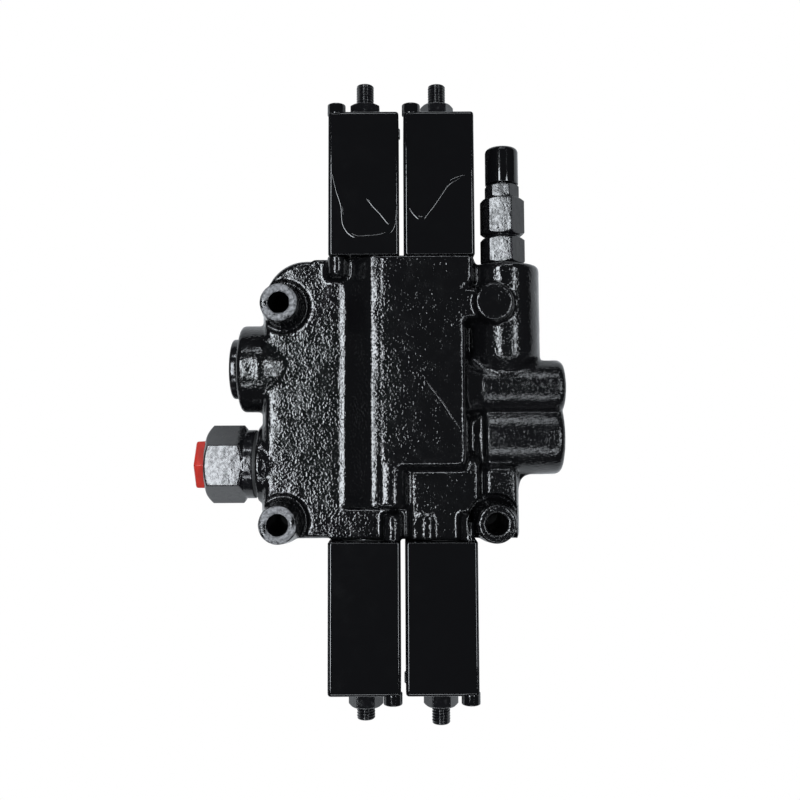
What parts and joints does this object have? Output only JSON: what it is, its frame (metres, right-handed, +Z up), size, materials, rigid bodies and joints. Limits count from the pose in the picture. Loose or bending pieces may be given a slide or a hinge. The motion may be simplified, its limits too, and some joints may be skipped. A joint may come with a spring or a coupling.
{
  "type": "hydraulic control valve",
  "caption": "Pilot-operated directional control valve with sliding spools, end caps, stroke adjusters and a main relief valve, for mobile hydraulics.",
  "frame": {"origin": "middle of the machined port face, halfway between the spools and between the end faces", "axes": "+X across the spools towards the pressure port, +Y along the spools towards the relief valve end, +Z up from the port face to the mounting bosses"},
  "size_m": [0.2054, 0.3572, 0.063],
  "materials": {
    "cast_black_paint": "gloss",
    "gloss_black_paint": "gloss",
    "ground_steel": "ground",
    "spring_steel": "satin",
    "seal_rubber": "matt",
    "red_plastic": "satin"
  },
  "bodies": {
    "valve": {"valve_body": "cast_black_paint", "pilot_cap_1a": "gloss_black_paint", "pilot_cap_1b": "gloss_black_paint", "pilot_cap_2a": "gloss_black_paint", "pilot_cap_2b": "gloss_black_paint", "cap_screws_1a": "gloss_black_paint", "cap_screws_1b": "gloss_black_paint", "cap_screws_2a": "gloss_black_paint", "cap_screws_2b": "gloss_black_paint", "cap_seals": "seal_rubber", "centring_spring_1a": "spring_steel", "centring_spring_1b": "spring_steel", "centring_spring_2a": "spring_steel", "centring_spring_2b": "spring_steel", "adjuster_washers": "gloss_black_paint", "load_check_plug_1": "ground_steel", "load_check_plug_2": "ground_steel", "load_check_spring_1": "spring_steel", "load_check_spring_2": "spring_steel", "relief_cartridge_body": "gloss_black_paint", "relief_seal": "seal_rubber", "relief_spring_housing": "gloss_black_paint", "relief_cap": "gloss_black_paint", "relief_spring": "spring_steel", "left_port_plug": "gloss_black_paint", "left_plug_seal": "seal_rubber", "carry_over_adapter": "gloss_black_paint", "adapter_seal": "seal_rubber", "protective_plug": "red_plastic"},
    "spool_1_group": {"spool_1": "ground_steel", "seat_screws_1": "ground_steel", "spring_seat_1a": "ground_steel", "spring_seat_1b": "ground_steel"},
    "spool_2_group": {"spool_2": "ground_steel", "seat_screws_2": "ground_steel", "spring_seat_2a": "ground_steel", "spring_seat_2b": "ground_steel"},
    "adjuster_ring_1a": {"adjuster_ring_1a": "seal_rubber"},
    "adjuster_1a": {"stroke_adjuster_1a": "gloss_black_paint"},
    "lock_nut_1a": {"lock_nut_1a": "gloss_black_paint"},
    "adjuster_ring_1b": {"adjuster_ring_1b": "seal_rubber"},
    "adjuster_1b": {"stroke_adjuster_1b": "gloss_black_paint"},
    "lock_nut_1b": {"lock_nut_1b": "gloss_black_paint"},
    "adjuster_ring_2a": {"adjuster_ring_2a": "seal_rubber"},
    "adjuster_2a": {"stroke_adjuster_2a": "gloss_black_paint"},
    "lock_nut_2a": {"lock_nut_2a": "gloss_black_paint"},
    "adjuster_ring_2b": {"adjuster_ring_2b": "seal_rubber"},
    "adjuster_2b": {"stroke_adjuster_2b": "gloss_black_paint"},
    "lock_nut_2b": {"lock_nut_2b": "gloss_black_paint"},
    "load_check_1": {"load_check_poppet_1": "ground_steel"},
    "load_check_2": {"load_check_poppet_2": "ground_steel"},
    "relief_poppet": {"relief_poppet": "ground_steel"},
    "relief_seat": {"relief_spring_seat": "ground_steel"},
    "relief_adjuster": {"relief_adjuster": "ground_steel"},
    "relief_lock_nut": {"relief_lock_nut": "gloss_black_paint"}
  },
  "joints": [
    {"name": "spool_1_stroke", "type": "slide", "parent": "valve", "child": "spool_1_group", "axis": [0, 1, 0], "range_m": [-0.007, 0.007], "stiffness_N_per_m": 20000, "deforming": ["centring_spring_1a", "centring_spring_1b"]},
    {"name": "spool_2_stroke", "type": "slide", "parent": "valve", "child": "spool_2_group", "axis": [0, 1, 0], "range_m": [-0.007, 0.007], "stiffness_N_per_m": 20000, "deforming": ["centring_spring_2a", "centring_spring_2b"]},
    {"name": "adjuster_1a_travel", "type": "slide", "parent": "valve", "child": "adjuster_ring_1a", "axis": [0, 1, 0], "range_m": [-0.0015, 0.0015]},
    {"name": "adjuster_1a_turn", "type": "hinge", "parent": "adjuster_ring_1a", "child": "adjuster_1a", "pos_m": [-0.0205, 0.16175, 0.033], "axis": [0, 1, 0], "range_deg": [-365, 365]},
    {"name": "lock_nut_1a_turn", "type": "hinge", "parent": "valve", "child": "lock_nut_1a", "pos_m": [-0.0205, 0.16175, 0.033], "axis": [0, 1, 0], "range_deg": [0, 30]},
    {"name": "adjuster_1b_travel", "type": "slide", "parent": "valve", "child": "adjuster_ring_1b", "axis": [0, 1, 0], "range_m": [-0.0015, 0.0015]},
    {"name": "adjuster_1b_turn", "type": "hinge", "parent": "adjuster_ring_1b", "child": "adjuster_1b", "pos_m": [-0.0205, -0.16175, 0.033], "axis": [0, 1, 0], "range_deg": [-365, 365]},
    {"name": "lock_nut_1b_turn", "type": "hinge", "parent": "valve", "child": "lock_nut_1b", "pos_m": [-0.0205, -0.16175, 0.033], "axis": [0, 1, 0], "range_deg": [-30, 0]},
    {"name": "adjuster_2a_travel", "type": "slide", "parent": "valve", "child": "adjuster_ring_2a", "axis": [0, 1, 0], "range_m": [-0.0015, 0.0015]},
    {"name": "adjuster_2a_turn", "type": "hinge", "parent": "adjuster_ring_2a", "child": "adjuster_2a", "pos_m": [0.0205, 0.16175, 0.033], "axis": [0, 1, 0], "range_deg": [-365, 365]},
    {"name": "lock_nut_2a_turn", "type": "hinge", "parent": "valve", "child": "lock_nut_2a", "pos_m": [0.0205, 0.16175, 0.033], "axis": [0, 1, 0], "range_deg": [0, 30]},
    {"name": "adjuster_2b_travel", "type": "slide", "parent": "valve", "child": "adjuster_ring_2b", "axis": [0, 1, 0], "range_m": [-0.0015, 0.0015]},
    {"name": "adjuster_2b_turn", "type": "hinge", "parent": "adjuster_ring_2b", "child": "adjuster_2b", "pos_m": [0.0205, -0.16175, 0.033], "axis": [0, 1, 0], "range_deg": [-365, 365]},
    {"name": "lock_nut_2b_turn", "type": "hinge", "parent": "valve", "child": "lock_nut_2b", "pos_m": [0.0205, -0.16175, 0.033], "axis": [0, 1, 0], "range_deg": [-30, 0]},
    {"name": "load_check_1_lift", "type": "slide", "parent": "valve", "child": "load_check_1", "axis": [0, 0, -1], "range_m": [0, 0.0025], "stiffness_N_per_m": 500, "springref_m": -0.002, "deforming": ["load_check_spring_1"]},
    {"name": "load_check_2_lift", "type": "slide", "parent": "valve", "child": "load_check_2", "axis": [0, 0, -1], "range_m": [0, 0.0025], "stiffness_N_per_m": 500, "springref_m": -0.002, "deforming": ["load_check_spring_2"]},
    {"name": "relief_poppet_lift", "type": "slide", "parent": "valve", "child": "relief_poppet", "axis": [0, 1, 0], "range_m": [0, 0.002], "stiffness_N_per_m": 2000, "springref_m": -0.002, "deforming": ["relief_spring"]},
    {"name": "relief_seat_travel", "type": "slide", "parent": "valve", "child": "relief_seat", "axis": [0, 1, 0], "range_m": [-0.00125, 0.00125], "deforming": ["relief_spring"]},
    {"name": "relief_adjuster_turn", "type": "hinge", "parent": "relief_seat", "child": "relief_adjuster", "pos_m": [0.0574, 0.12, 0.033], "axis": [0, 1, 0], "range_deg": [-365, 365]},
    {"name": "relief_lock_nut_turn", "type": "hinge", "parent": "valve", "child": "relief_lock_nut", "pos_m": [0.0574, 0.12, 0.033], "axis": [0, 1, 0], "range_deg": [0, 30]}
  ],
  "couplings": [
    {"joint": "adjuster_1a_turn", "follows": "adjuster_1a_travel", "rad_per_m": 4188.8},
    {"joint": "adjuster_1b_turn", "follows": "adjuster_1b_travel", "rad_per_m": 4188.8},
    {"joint": "adjuster_2a_turn", "follows": "adjuster_2a_travel", "rad_per_m": 4188.8},
    {"joint": "adjuster_2b_turn", "follows": "adjuster_2b_travel", "rad_per_m": 4188.8},
    {"joint": "relief_adjuster_turn", "follows": "relief_seat_travel", "rad_per_m": 5026.5}
  ]
}
